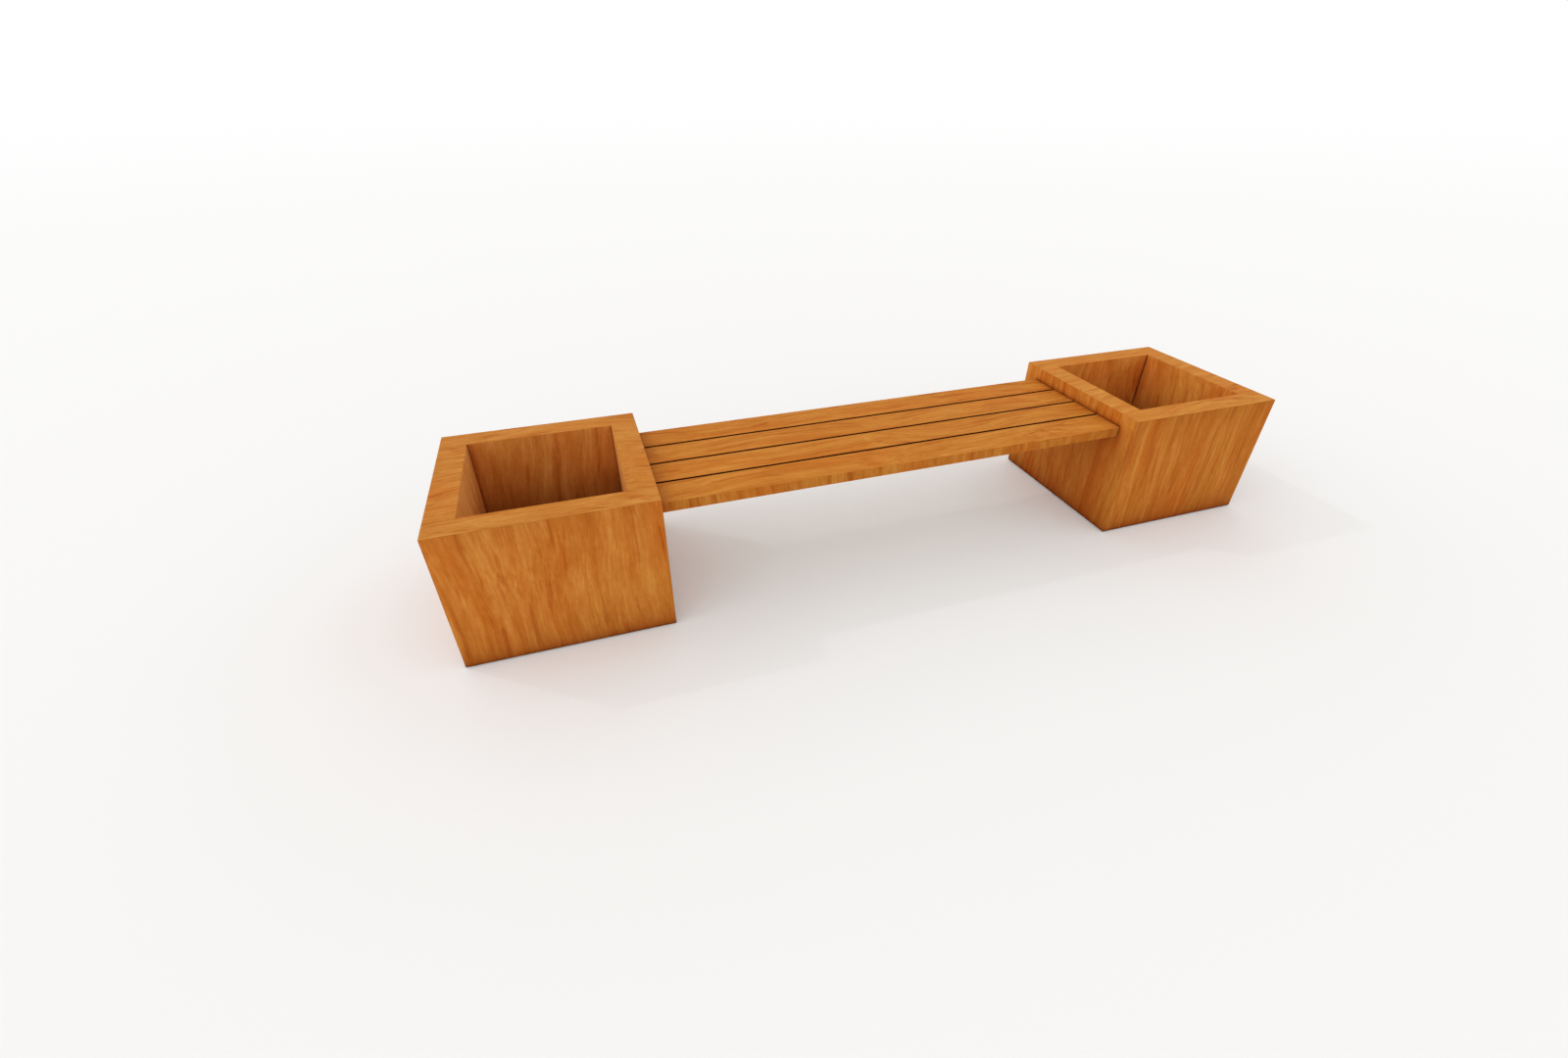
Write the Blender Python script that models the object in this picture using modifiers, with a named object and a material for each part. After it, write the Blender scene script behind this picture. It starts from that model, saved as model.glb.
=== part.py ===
"""Slatted wooden bench carried between two square planter boxes.

Units are metres, +Z is up and +X runs along the bench, with the origin on the ground under the seat's middle.
Each planter wall is hollow: plywood skins are glued to a timber frame, and mitred to a rim sawn from one
sheet. The seat boards are screwed to battens, and the end battens rest on steel angles screwed to the planters.
"""

import math

import bmesh
import bpy
from mathutils import Matrix, Vector

# Planter boxes
PLANTER_SIDE = 0.600  # outside width and depth
PLANTER_HEIGHT = 0.443  # ground to the top of the rim
WALL = 0.080  # whole thickness of a hollow wall, which is the width of the rim
SKIN = 0.018  # plywood of the outer panels, the linings and the rim
PANEL_CLEARANCE = 0.004  # ground to the outer panels, which stay off wet paving
LINING_CORNER_GAP = 0.004  # open joint between two linings, so that they can swell
ARRIS_RADIUS = 0.0015  # sanded corners of the panels and the rim

# Timber inside the walls
TOP_FRAME_HEIGHT = 0.040
BOTTOM_FRAME_HEIGHT = 0.044
FLOOR_LEDGE = 0.030  # the bottom frame reaches this far inside the linings
SEAT_RAIL_EDGE = 0.035  # from the coach screws down to the rail's lower edge

# Planter floor
FLOOR_THICKNESS = 0.021
FLOOR_BOARDS = 4
FLOOR_GAP = 0.010  # drains between two floor boards
FLOOR_EDGE_GAP = 0.004  # between the floor and the linings

# Seat
SEAT_SPAN = 1.581  # clear length between the two planters
SEAT_DROP = 0.047  # from the top of the rim down to the top of the boards
BOARDS = 4
BOARD_WIDTH = 0.112
BOARD_THICKNESS = 0.033
BOARD_GAP = 0.008
BOARD_END_GAP = 0.0008  # between a board's end and the planter
BOARD_ARRIS = 0.001
BATTENS = 4
BATTEN_WIDTH = 0.060
BATTEN_THICKNESS = 0.024
BATTEN_INSET = 0.008  # from the seat's edge to the batten's end
BATTEN_TAPER = 0.030  # length of the bevelled end, which keeps it out of sight
BATTEN_TIP = 0.005  # thickness left at the end
END_BATTEN_GAP = 0.003  # between an end batten and the planter

# Steel angles that carry the seat
ANGLE_LENGTH = 0.250
ANGLE_SHELF = 0.060
ANGLE_DROP = 0.045
ANGLE_THICKNESS = 0.005
ANGLE_ROOT = 0.004  # fillet between the two legs

# Coach screws through each angle and panel into the seat rail
COACH_SCREWS = 3
COACH_PITCH = 0.080
COACH_RADIUS = 0.004
COACH_FLANGE_RADIUS = 0.009
COACH_FLANGE_THICKNESS = 0.0018
COACH_HEAD_ACROSS = 0.013
COACH_HEAD_HEIGHT = 0.0055
COACH_POINT = 0.008
COACH_TIP_COVER = 0.010  # timber left between a screw's point and the lining

FIT = 0.0003  # between two pieces that touch
ARC_STEPS = 2
SHANK_SIDES = 12

# Places that follow from the sizes above
HALF = PLANTER_SIDE / 2
INNER_HALF = HALF - WALL
CAVITY_IN = INNER_HALF + SKIN
CAVITY_OUT = HALF - SKIN
FRAME_IN = CAVITY_IN + FIT
FRAME_OUT = CAVITY_OUT - FIT
PLANTER_X = SEAT_SPAN / 2 + HALF
RIM_BOTTOM = PLANTER_HEIGHT - SKIN
TOP_FRAME_TOP = RIM_BOTTOM - FIT
TOP_FRAME_BOTTOM = TOP_FRAME_TOP - TOP_FRAME_HEIGHT
FLOOR_BOTTOM = BOTTOM_FRAME_HEIGHT + FIT
FLOOR_REACH = INNER_HALF - FLOOR_EDGE_GAP
FLOOR_PITCH = (2 * FLOOR_REACH + FLOOR_GAP) / FLOOR_BOARDS
BOARD_PITCH = BOARD_WIDTH + BOARD_GAP
SEAT_HALF_DEPTH = (BOARDS * BOARD_PITCH - BOARD_GAP) / 2
SEAT_BOTTOM = PLANTER_HEIGHT - SEAT_DROP - BOARD_THICKNESS
BATTEN_TOP = SEAT_BOTTOM - FIT
END_BATTEN_X = SEAT_SPAN / 2 - END_BATTEN_GAP - BATTEN_WIDTH / 2
ANGLE_X = SEAT_SPAN / 2 - FIT
ANGLE_TOP = BATTEN_TOP - BATTEN_THICKNESS - FIT
COACH_X = ANGLE_X - ANGLE_THICKNESS - FIT
COACH_Z = ANGLE_TOP - (ANGLE_THICKNESS + ANGLE_DROP) / 2
COACH_LENGTH = SEAT_SPAN / 2 + WALL - SKIN - COACH_TIP_COVER - COACH_X

BENCH = bpy.data.collections.new("planter_bench")
CUTTERS = bpy.data.collections.new("cutters")


def clear_scene():
    for obj in list(bpy.data.objects):
        bpy.data.objects.remove(obj)
    for collection in (BENCH, CUTTERS):
        bpy.context.scene.collection.children.link(collection)


def make_material(name, colour, roughness, metallic=0.0):
    material = bpy.data.materials.new(name)
    material.use_nodes = True
    shader = material.node_tree.nodes["Principled BSDF"]
    shader.inputs["Base Color"].default_value = (*colour, 1.0)
    shader.inputs["Roughness"].default_value = roughness
    shader.inputs["Metallic"].default_value = metallic
    return material


def add_object(name, mesh, material, place=None, parent=None):
    obj = bpy.data.objects.new(name, mesh)
    BENCH.objects.link(obj)
    mesh.materials.clear()
    mesh.materials.append(material)
    obj.parent = parent
    if place:
        obj.matrix_basis = place
    return obj


def drill(obj, holes):
    cut = obj.modifiers.new("holes", "BOOLEAN")
    cut.operation = "DIFFERENCE"
    cut.object = holes


def even(count, pitch):
    """Offsets of things set out evenly either side of a middle line."""
    return [(i - (count - 1) / 2) * pitch for i in range(count)]


def arc(centre_r, centre_z, radius, start, end):
    """Points of an arc in an outline, with its angles in degrees above the +r direction."""
    points = []
    for step in range(ARC_STEPS + 1):
        angle = math.radians(start + (end - start) * step / ARC_STEPS)
        points.append((centre_r + radius * math.cos(angle), centre_z + radius * math.sin(angle)))
    return points


# Meshes


def mesh_from(bm, name):
    mesh = bpy.data.meshes.new(name)
    bmesh.ops.recalc_face_normals(bm, faces=bm.faces)
    bm.to_mesh(mesh)
    bm.free()
    return mesh


def block(low, high):
    """A cube primitive stretched from its low corner to its high corner."""
    low, high = Vector(low), Vector(high)
    bm = bmesh.new()
    bmesh.ops.create_cube(bm, size=1.0)
    bmesh.ops.scale(bm, vec=high - low, verts=bm.verts)
    bmesh.ops.translate(bm, vec=(low + high) / 2, verts=bm.verts)
    return bm


def saw(bm, point, normal):
    """Cuts off what lies past a plane and closes the cut."""
    geometry = bm.verts[:] + bm.edges[:] + bm.faces[:]
    cut = bmesh.ops.bisect_plane(
        bm, geom=geometry, plane_co=point, plane_no=normal, clear_outer=True, dist=1e-7
    )
    edges = [item for item in cut["geom_cut"] if isinstance(item, bmesh.types.BMEdge)]
    bmesh.ops.contextual_create(bm, geom=edges)


def round_edges(bm, at_edge):
    """Rounds the edges whose middle passes a test."""
    edges = [edge for edge in bm.edges if at_edge((edge.verts[0].co + edge.verts[1].co) / 2)]
    bmesh.ops.bevel(
        bm, geom=edges, offset=ARRIS_RADIUS, segments=2 * ARC_STEPS, profile=0.5, affect="EDGES"
    )


def turned(profile, sides, closed=False):
    """A mesh turned round Z by a Screw modifier, from (radius, height) points down its outer side."""
    bm = bmesh.new()
    verts = [bm.verts.new((r, 0, z)) for r, z in profile]
    for a, b in zip(verts, verts[1:]):
        bm.edges.new((a, b))
    if closed:
        bm.edges.new((verts[-1], verts[0]))
    outline = bpy.data.meshes.new("profile")
    bm.to_mesh(outline)
    bm.free()
    blank = bpy.data.objects.new("profile", outline)
    CUTTERS.objects.link(blank)
    screw = blank.modifiers.new("turn", "SCREW")
    screw.steps = screw.render_steps = sides
    screw.use_merge_vertices = True
    screw.merge_threshold = 1e-5
    graph = bpy.context.evaluated_depsgraph_get()
    mesh = bpy.data.meshes.new_from_object(blank.evaluated_get(graph))
    bpy.data.objects.remove(blank)
    return mesh


def square_ring(section):
    """A ring turned in four steps, so that each radius in its section is a half width of the square."""
    mesh = turned([(r * math.sqrt(2), z) for r, z in section], 4, closed=True)
    mesh.transform(Matrix.Rotation(math.radians(45), 4, "Z"))
    return mesh


def outer_panel_mesh():
    """Show panel of the -Y wall, mitred to its neighbours and to the rim, with sanded corners."""
    bm = block((-HALF, -HALF, PANEL_CLEARANCE), (HALF, -CAVITY_OUT, PLANTER_HEIGHT))
    round_edges(bm, lambda at: at.y < FIT - HALF and at.z > PANEL_CLEARANCE + FIT)
    for side in (-1, 1):
        mitre = Vector((side, 1, 0)).normalized()
        saw(bm, -mitre * FIT / 2, mitre)
    mitre = Vector((0, 1, 1)).normalized()
    saw(bm, Vector((0, -HALF, PLANTER_HEIGHT)) - mitre * FIT / 2, mitre)
    return mesh_from(bm, "outer_panel")


def lining_mesh():
    """Inside panel of the -Y wall, mitred to the rim. It stands on the bottom frame."""
    bm = block((-CAVITY_IN, -CAVITY_IN, FLOOR_BOTTOM), (CAVITY_IN, -INNER_HALF, PLANTER_HEIGHT))
    round_edges(bm, lambda at: at.y > -INNER_HALF - FIT and at.z > PLANTER_HEIGHT - FIT)
    for side in (-1, 1):
        mitre = Vector((side, 1, 0)).normalized()
        saw(bm, -mitre * LINING_CORNER_GAP / 2, mitre)
    mitre = Vector((0, -1, 1)).normalized()
    saw(bm, Vector((0, -INNER_HALF, PLANTER_HEIGHT)) - mitre * FIT / 2, mitre)
    return mesh_from(bm, "lining")


def rim_mesh():
    """Frame sawn from one sheet, undercut on both edges to meet the mitred panels and linings."""
    gap = FIT / math.sqrt(2)
    arris_z = PLANTER_HEIGHT - ARRIS_RADIUS
    outer = arc(HALF - ARRIS_RADIUS - gap, arris_z, ARRIS_RADIUS, 90, 45)
    inner = arc(INNER_HALF + ARRIS_RADIUS + gap, arris_z, ARRIS_RADIUS, 135, 90)
    underside = [(CAVITY_OUT - gap, RIM_BOTTOM), (CAVITY_IN + gap, RIM_BOTTOM)]
    return square_ring([*outer, *underside, *inner])


def coach_screw_mesh():
    """Hexagon head joined to a turned flange and shank. It bears at the origin, with its shank down -Z."""
    head_radius = COACH_HEAD_ACROSS / math.sqrt(3)
    head = bmesh.new()
    bmesh.ops.create_cone(
        head, cap_ends=True, segments=6, radius1=head_radius, radius2=head_radius, depth=COACH_HEAD_HEIGHT
    )
    middle = COACH_FLANGE_THICKNESS / 2 + COACH_HEAD_HEIGHT / 2
    bmesh.ops.translate(head, vec=(0, 0, middle), verts=head.verts)
    profile = [
        (0, COACH_FLANGE_THICKNESS),
        (COACH_FLANGE_RADIUS, COACH_FLANGE_THICKNESS),
        (COACH_FLANGE_RADIUS, 0),
        (COACH_RADIUS, 0),
        (COACH_RADIUS, COACH_POINT - COACH_LENGTH),
        (0, -COACH_LENGTH),
    ]
    whole = bpy.data.objects.new("coach_head", mesh_from(head, "coach_head"))
    shank = bpy.data.objects.new("coach_shank", turned(profile, SHANK_SIDES))
    for obj in (whole, shank):
        CUTTERS.objects.link(obj)
    join = whole.modifiers.new("shank", "BOOLEAN")
    join.operation = "UNION"
    join.object = shank
    graph = bpy.context.evaluated_depsgraph_get()
    mesh = bpy.data.meshes.new_from_object(whole.evaluated_get(graph))
    for obj in (whole, shank):
        bpy.data.objects.remove(obj)
    return mesh


def coach_places():
    """The first half of the screws go into the left planter."""
    places = []
    for side in (-1, 1):
        shank_along_x = Matrix.Rotation(math.radians(-90 * side), 4, "Y")
        for y in even(COACH_SCREWS, COACH_PITCH):
            places.append(Matrix.Translation((side * COACH_X, y, COACH_Z)) @ shank_along_x)
    return places


def coach_holes():
    """Fattened shanks, hidden, which drill the angles, the panels and the seat rails."""
    radius = COACH_RADIUS + FIT
    tip = -COACH_LENGTH - FIT
    profile = [(0, COACH_RADIUS), (radius, COACH_RADIUS), (radius, tip + COACH_POINT), (0, tip)]
    shank = turned(profile, SHANK_SIDES)
    bm = bmesh.new()
    for place in coach_places():
        copy = shank.copy()
        copy.transform(place)
        bm.from_mesh(copy)
    holes = bpy.data.objects.new("coach_holes", mesh_from(bm, "coach_holes"))
    CUTTERS.objects.link(holes)
    holes.hide_render = True
    holes.display_type = "WIRE"
    return holes


# Planters


def turns_of(side):
    """Each wall's turn from -Y, in degrees. The seat meets the wall that faces the other planter."""
    toward_seat, toward_end = (90, 270) if side == "left" else (270, 90)
    return {"front": 0, "seat": toward_seat, "back": 180, "end": toward_end}


def add_planter(side, plywood, timber, holes):
    middle = bpy.data.objects.new(f"{side}_planter", None)
    BENCH.objects.link(middle)
    middle.location.x = -PLANTER_X if side == "left" else PLANTER_X
    for wall, degrees in turns_of(side).items():
        turn = Matrix.Rotation(math.radians(degrees), 4, "Z")
        panel = add_object(f"{side}_planter_{wall}_panel", outer_panel_mesh(), plywood, turn, middle)
        add_object(f"{side}_planter_{wall}_lining", lining_mesh(), plywood, turn, middle)
        if wall == "seat":
            drill(panel, holes)
            add_seat_rail(side, timber, turn, middle, holes)
    add_object(f"{side}_planter_rim", rim_mesh(), plywood, parent=middle)
    add_frame(side, timber, middle)
    add_floor(side, timber, middle)


def add_frame(side, timber, middle):
    """Top and bottom frames, half lapped and glued at their corners, with a post in each corner."""
    bottom_in = INNER_HALF - FLOOR_LEDGE
    sections = {
        "top_frame": (FRAME_IN, TOP_FRAME_BOTTOM, TOP_FRAME_TOP),
        "bottom_frame": (bottom_in, 0, BOTTOM_FRAME_HEIGHT),
    }
    for name, (inside, low, high) in sections.items():
        ring = square_ring([(FRAME_OUT, high), (FRAME_OUT, low), (inside, low), (inside, high)])
        add_object(f"{side}_planter_{name}", ring, timber, parent=middle)
    for number, degrees in enumerate((0, 90, 180, 270), 1):
        low = (-FRAME_OUT, -FRAME_OUT, FLOOR_BOTTOM)
        high = (-FRAME_IN, -FRAME_IN, TOP_FRAME_BOTTOM - FIT)
        turn = Matrix.Rotation(math.radians(degrees), 4, "Z")
        post = mesh_from(block(low, high), "post")
        add_object(f"{side}_planter_post_{number}", post, timber, turn, middle)


def add_seat_rail(side, timber, turn, middle, holes):
    """Blocking under the top frame, between two posts, that the coach screws bite into."""
    low = (-CAVITY_IN, -FRAME_OUT, COACH_Z - SEAT_RAIL_EDGE)
    high = (CAVITY_IN, -FRAME_IN, TOP_FRAME_BOTTOM - FIT)
    mesh = mesh_from(block(low, high), "seat_rail")
    drill(add_object(f"{side}_planter_seat_rail", mesh, timber, turn, middle), holes)


def add_floor(side, timber, middle):
    """Drained boards, resting on the ledge of the bottom frame."""
    half_width = (FLOOR_PITCH - FLOOR_GAP) / 2
    for number, x in enumerate(even(FLOOR_BOARDS, FLOOR_PITCH), 1):
        bm = block((-half_width, -FLOOR_REACH, 0), (half_width, FLOOR_REACH, FLOOR_THICKNESS))
        name = f"{side}_planter_floor_board_{number}"
        add_object(name, mesh_from(bm, "floor_board"), timber, Matrix.Translation((x, 0, FLOOR_BOTTOM)), middle)


# Seat


def add_seat(hardwood, timber):
    """Boards along the bench, with battens across them underneath."""
    half_length = SEAT_SPAN / 2 - BOARD_END_GAP
    for number, y in enumerate(even(BOARDS, BOARD_PITCH), 1):
        bm = block((-half_length, -BOARD_WIDTH / 2, 0), (half_length, BOARD_WIDTH / 2, BOARD_THICKNESS))
        place = Matrix.Translation((0, y, SEAT_BOTTOM))
        board = add_object(f"seat_board_{number}", mesh_from(bm, "seat_board"), hardwood, place)
        bevel = board.modifiers.new("arris", "BEVEL")
        bevel.width = BOARD_ARRIS
        bevel.segments = 2
    for number, x in enumerate(even(BATTENS, 2 * END_BATTEN_X / (BATTENS - 1)), 1):
        place = Matrix.Translation((x, 0, BATTEN_TOP))
        add_object(f"seat_batten_{number}", batten_mesh(), timber, place)


def batten_mesh():
    reach = SEAT_HALF_DEPTH - BATTEN_INSET
    bm = block((-BATTEN_WIDTH / 2, -reach, -BATTEN_THICKNESS), (BATTEN_WIDTH / 2, reach, 0))
    for side in (-1, 1):
        slope = Vector((0, side * (BATTEN_THICKNESS - BATTEN_TIP), -BATTEN_TAPER))
        saw(bm, (0, side * reach, -BATTEN_TIP), slope)
    return mesh_from(bm, "seat_batten")


def add_angle(side, steel, holes):
    """Rolled steel angle: an L outline with a root fillet, extruded across the bench."""
    toward = -1 if side == "left" else 1
    inside_x = ANGLE_X - ANGLE_THICKNESS
    inside_z = ANGLE_TOP - ANGLE_THICKNESS
    outline = [
        (ANGLE_X, ANGLE_TOP),
        (ANGLE_X, ANGLE_TOP - ANGLE_DROP),
        (inside_x, ANGLE_TOP - ANGLE_DROP),
        *arc(inside_x - ANGLE_ROOT, inside_z - ANGLE_ROOT, ANGLE_ROOT, 0, 90),
        (ANGLE_X - ANGLE_SHELF, inside_z),
        (ANGLE_X - ANGLE_SHELF, ANGLE_TOP),
    ]
    bm = bmesh.new()
    face = bm.faces.new([bm.verts.new((toward * x, -ANGLE_LENGTH / 2, z)) for x, z in outline])
    swept = bmesh.ops.extrude_face_region(bm, geom=[face], use_keep_orig=True)
    moved = [item for item in swept["geom"] if isinstance(item, bmesh.types.BMVert)]
    bmesh.ops.translate(bm, vec=(0, ANGLE_LENGTH, 0), verts=moved)
    drill(add_object(f"{side}_seat_angle", mesh_from(bm, "seat_angle"), steel), holes)


def add_coach_screws(steel):
    mesh = coach_screw_mesh()
    for number, place in enumerate(coach_places()):
        side = "left" if number < COACH_SCREWS else "right"
        add_object(f"{side}_coach_screw_{number % COACH_SCREWS + 1}", mesh, steel, place)


def main():
    clear_scene()
    plywood = make_material("veneered_plywood", (0.50, 0.16, 0.025), 0.45)
    hardwood = make_material("seat_hardwood", (0.52, 0.19, 0.036), 0.45)
    timber = make_material("frame_timber", (0.48, 0.27, 0.12), 0.7)
    steel = make_material("zinc_plated_steel", (0.55, 0.56, 0.57), 0.35, 1.0)
    holes = coach_holes()
    for side in ("left", "right"):
        add_planter(side, plywood, timber, holes)
        add_angle(side, steel, holes)
    add_seat(hardwood, timber)
    add_coach_screws(steel)


main()
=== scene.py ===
import math

import bmesh
import bpy
from mathutils import Matrix, Vector


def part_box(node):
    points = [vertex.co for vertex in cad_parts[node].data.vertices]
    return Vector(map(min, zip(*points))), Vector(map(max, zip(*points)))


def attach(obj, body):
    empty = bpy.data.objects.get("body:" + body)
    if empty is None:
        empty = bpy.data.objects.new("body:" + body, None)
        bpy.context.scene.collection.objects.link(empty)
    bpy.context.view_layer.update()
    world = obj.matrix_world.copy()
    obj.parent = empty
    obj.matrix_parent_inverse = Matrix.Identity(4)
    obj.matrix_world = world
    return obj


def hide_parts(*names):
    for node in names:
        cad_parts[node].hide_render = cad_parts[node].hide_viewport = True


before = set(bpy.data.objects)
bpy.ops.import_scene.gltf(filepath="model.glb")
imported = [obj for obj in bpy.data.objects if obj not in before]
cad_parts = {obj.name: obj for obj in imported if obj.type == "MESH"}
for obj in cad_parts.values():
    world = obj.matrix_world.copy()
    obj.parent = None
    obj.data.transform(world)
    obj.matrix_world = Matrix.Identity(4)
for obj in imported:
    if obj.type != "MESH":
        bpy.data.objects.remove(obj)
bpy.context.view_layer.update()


# Show panels: four sheets of 18 mm plywood round each planter, faced with an orange-brown veneer whose
# figure runs up the side. They are glued to the timber frame inside, mitred to each other and to the rim,
# and sanded round where they meet. They stop 4 mm above the ground, so that they don't soak.

PANEL_LOW, PANEL_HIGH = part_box("left_planter_front_panel")
HALF_SIDE = -PANEL_LOW.y
SKIN = PANEL_HIGH.y - PANEL_LOW.y
GROUND_GAP = PANEL_LOW.z
RIM_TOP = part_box("left_planter_rim")[1].z
CORNER_RADIUS = 0.0015
FOOT_RADIUS = 0.0008
JOINT_GAP = 0.0003
PLY = 0.0014
SEAT_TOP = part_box("seat_board_1")[1].z
SEAT_HALF_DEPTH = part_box("seat_board_4")[1].y
SMOOTH_ANGLE = math.radians(40)

# A point within HAIR of a plane counts as lying on it, and points within MEETING of each other as one
HAIR = 1e-5
MEETING = 1e-6

PLANTER_X = {
    side: (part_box(f"{side}_planter_rim")[0].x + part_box(f"{side}_planter_rim")[1].x) / 2
    for side in ("left", "right")
}
WALL_TURNS = {
    "left": {"front": 0, "seat": 90, "back": 180, "end": 270},
    "right": {"front": 0, "end": 90, "back": 180, "seat": 270},
}

# Linear colours of the veneer between its streaks, and how close the streaks of each planter's log are
VENEER_COLOUR = {"left": (0.524, 0.175, 0.0266), "right": (0.481, 0.152, 0.0208)}
LOG_CLOSENESS = {"left": (1.22, 1.22, 0.95), "right": (1.5, 1.5, 0.90)}
LOG_START = {"left": (0.15, 0.0, 0.0), "right": (0.40, 0.0, 0.0)}

# The figure: how far its fibres lean and wander, how they are drawn out, and how much darker each tone of
# the streaks is than the next one in red, green and blue
LEAN = (0.17, 0.17, 0.17)
WANDER = (0.010, 0.010, 0.010)
MIDDLE_GREY = (0.5, 0.5, 0.5)
FIBRE_UPRIGHT = (1.0, 1.0, 0.15)
FIBRE_LYING = (0.10, 1.5, 1.5)
LONG_FIBRE_UPRIGHT = (1.0, 1.0, 0.06)
LONG_FIBRE_LYING = (0.06, 1.5, 1.5)
STREAK_DEPTH = (0.064, 0.136, 0.240)
STREAK_TONES = 7

# What each cloud, vein, pore and ply stain multiplies red, green and blue by, then the painted shade and
# light on the walls, and how far each reaches
REDDER = (1.0, 0.90, 0.80)
MORE_GOLDEN = (1.0, 1.05, 1.0)
VEIN = (0.84, 0.69, 0.64)
PORE = (0.62, 0.50, 0.42)
DARK_PLY = (0.62, 0.56, 0.50)
# Painted shade at the foot of the show panels, and a painted contact shadow line along their lower edge
FOOT_SHADE = (0.55, 0.40, 0.34)
FOOT_SHADE_HEIGHT = 0.055
FOOT_SHADOW_LINE = (0.46, 0.36, 0.32)
FOOT_SHADOW_LINE_HEIGHT = 0.008
# A band darker just below the rim top
DARKER_BELOW_RIM = (0.90, 0.87, 0.86)
DARKER_BELOW_RIM_REACH = 0.055
# Painted shade below the seat and a painted highlight above it on the wall beside the seat, then a painted
# shadow line and painted shade along the joint with the seat
SHADE_BELOW_SEAT = (0.97, 0.94, 1.06)
LIGHT_ABOVE_SEAT = (1.08, 1.18, 1.24)
JOINT_SHADOW_LINE = (0.52, 0.36, 0.30)
SHADOW_LINE_REACH = 0.005
JOINT_SHADE = (0.92, 0.88, 0.88)
JOINT_SHADE_REACH = 0.013


class Wire:
    """A socket in a finish, with arithmetic: sums and products on it add Math nodes."""

    def __init__(self, finish, socket=None):
        self.finish = finish
        self.socket = socket

    def node(self, kind, settings, sockets, out=0):
        """Adds any node: its settings first, a ramp's stops among them, then what its sockets take."""
        tree = self.finish.node_tree
        made = tree.nodes.new(kind)
        for name, value in settings.items():
            if name != "stops":
                setattr(made, name, value)
                continue
            ramp = made.color_ramp.elements
            while len(ramp) < len(value):
                ramp.new(1.0)
            for stop, (position, colour) in zip(ramp, value):
                stop.position = position
                stop.color = (*colour, 1.0)
        for name, value in sockets.items():
            if isinstance(value, Wire):
                tree.links.new(value.socket, made.inputs[name])
            else:
                made.inputs[name].default_value = value
        return Wire(self.finish, made.outputs[out])

    def math(self, operation, *others):
        """A Math node with this value first."""
        sockets = dict(enumerate((self, *others)))
        return self.node("ShaderNodeMath", {"operation": operation}, sockets)

    def vector(self, operation, *others, out="Vector"):
        """A Vector Math node with this vector first."""
        sockets = dict(enumerate((self, *others)))
        return self.node("ShaderNodeVectorMath", {"operation": operation}, sockets, out)

    def __add__(self, other):
        return self.math("ADD", other)

    def __radd__(self, other):
        return self.math("ADD", other)

    def __sub__(self, other):
        return self.math("SUBTRACT", other)

    def __rsub__(self, other):
        return self.node("ShaderNodeMath", {"operation": "SUBTRACT"}, {0: other, 1: self})

    def __mul__(self, other):
        return self.math("MULTIPLY", other)

    def __rmul__(self, other):
        return self.math("MULTIPLY", other)

    def __abs__(self):
        return self.math("ABSOLUTE")

    def part(self, axis):
        """One part of a vector: X, Y or Z."""
        return self.node("ShaderNodeSeparateXYZ", {}, {0: self}, axis)

    def noise(self, scale, detail=2.0, roughness=0.5, out="Fac"):
        sockets = {"Vector": self, "Scale": scale, "Detail": detail, "Roughness": roughness}
        return self.node("ShaderNodeTexNoise", {"noise_dimensions": "3D"}, sockets, out)

    def rises(self, low, high):
        """0 below low, 1 above high, and a soft step between."""
        sockets = {"Value": self, "From Min": low, "From Max": high}
        return self.node("ShaderNodeMapRange", {"interpolation_type": "SMOOTHSTEP"}, sockets)

    def mixed(self, other, share):
        """This colour or vector, with a share of another laid over it."""
        return self.node("ShaderNodeMix", {"data_type": "RGBA"}, {0: share, 6: self, 7: other}, 2)

    def stained(self, tint, share):
        """This colour with a share of a tint soaked into it."""
        settings = {"data_type": "RGBA", "blend_type": "MULTIPLY"}
        return self.node("ShaderNodeMix", settings, {0: share, 6: self, 7: (*tint, 1.0)}, 2)


def new_finish(name):
    finish = bpy.data.materials.new(name)
    finish.use_nodes = True
    return finish


def shader_of(finish):
    return finish.node_tree.nodes["Principled BSDF"]


def read(finish, what):
    """What a finish reads: Object is a point's place, Normal its facing, Generated its way in the sky."""
    return Wire(finish).node("ShaderNodeTexCoord", {}, {}, what)


def feed(finish, socket, wire):
    finish.node_tree.links.new(wire.socket, shader_of(finish).inputs[socket])


def roughen(finish, relief, strength, depth):
    """Gives a finish its fine relief."""
    sockets = {"Height": relief, "Strength": strength, "Distance": depth}
    feed(finish, "Normal", relief.node("ShaderNodeBump", {}, sockets))


def streak_stops(colour):
    """Stops of a ramp from dark streaks to pale ones. The dark ones are redder too."""
    middle = (STREAK_TONES - 1) / 2
    stops = []
    for tone in range(STREAK_TONES):
        steps = tone - middle
        part_by_part = tuple(part * math.exp(depth * steps) for part, depth in zip(colour, STREAK_DEPTH))
        stops.append((0.5 + steps / STREAK_TONES, part_by_part))
    return stops


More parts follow.
